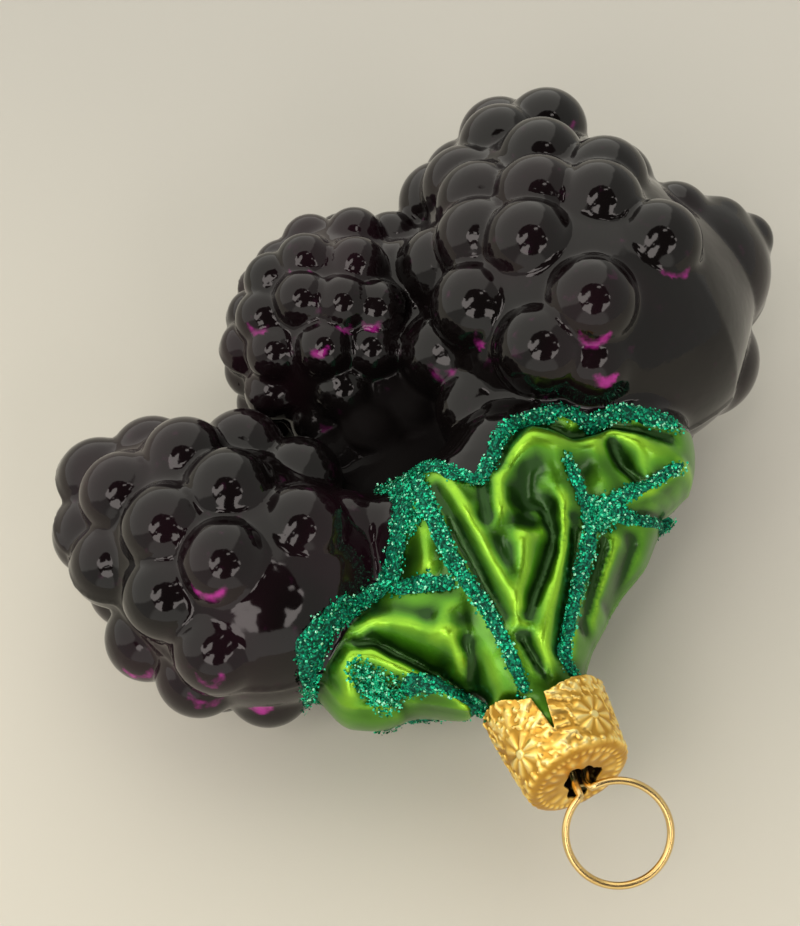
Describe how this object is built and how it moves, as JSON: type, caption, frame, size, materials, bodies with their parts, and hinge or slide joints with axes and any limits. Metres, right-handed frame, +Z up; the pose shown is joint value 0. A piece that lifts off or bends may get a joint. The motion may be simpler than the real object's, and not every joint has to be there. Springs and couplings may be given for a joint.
{
  "type": "bramble fruit glass ornament",
  "caption": "Mould-blown glass cluster of bramble fruits under a leafy calyx with glitter veins, a stamped metal cap and a wire ring to hang it by; lies on its back.",
  "frame": {"origin": "middle of the footprint, on the surface that it lies on", "axes": "+Z up; +Y the way the berries point, with the neck, cap and ring at the -Y end; +X towards the biggest berry"},
  "size_m": [0.0796, 0.0802, 0.0363],
  "materials": {
    "lacquered_glass": "near-black plum lacquer over silvered glass, wet gloss; the calyx is candy green metallic lacquer",
    "gold_sheet": "stamped warm gold, satin",
    "gold_wire": "drawn, bright",
    "glitter": "teal metallic flakes in clear glue"
  },
  "bodies": {
    "root": {"glass_body": "lacquered_glass", "cap": "gold_sheet", "hanger_wire": "gold_wire", "glitter_upper_edge": "glitter", "glitter_upper_edge_back": "glitter", "glitter_left_edge": "glitter", "glitter_left_edge_back": "glitter", "glitter_left_vein": "glitter", "glitter_left_vein_back": "glitter", "glitter_right_vein": "glitter", "glitter_right_vein_back": "glitter", "glitter_right_branch": "glitter", "glitter_right_branch_back": "glitter", "glitter_window_base": "glitter", "glitter_window_base_back": "glitter", "glitter_hem": "glitter", "glitter_hem_back": "glitter"}
  },
  "joints": []
}
